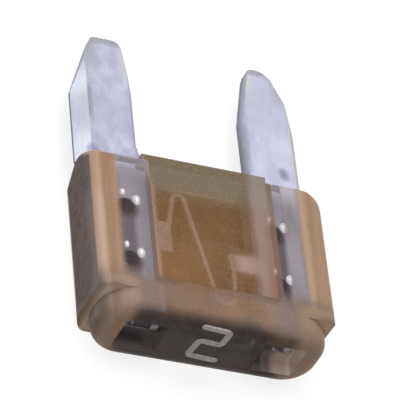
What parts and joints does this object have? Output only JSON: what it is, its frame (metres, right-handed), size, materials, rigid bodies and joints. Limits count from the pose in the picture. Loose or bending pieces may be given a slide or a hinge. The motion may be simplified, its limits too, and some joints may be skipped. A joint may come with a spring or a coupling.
{
  "type": "automotive blade fuse",
  "caption": "Mini plug-in vehicle fuse: flat blades on a stamped link, held in a translucent moulded housing with a window over the thin bent melting element.",
  "frame": {"origin": "under the middle of the bounding box, on the surface that the fuse lies on", "axes": "+X across the width of the housing, +Y along the blades from the head to their tips, +Z the normal of the front face, up from the surface"},
  "size_m": [0.011, 0.0162, 0.0036],
  "materials": {
    "housing": "gloss",
    "metal": "satin"
  },
  "bodies": {
    "root": {"housing": "housing", "fuse_link": "metal"}
  },
  "joints": []
}
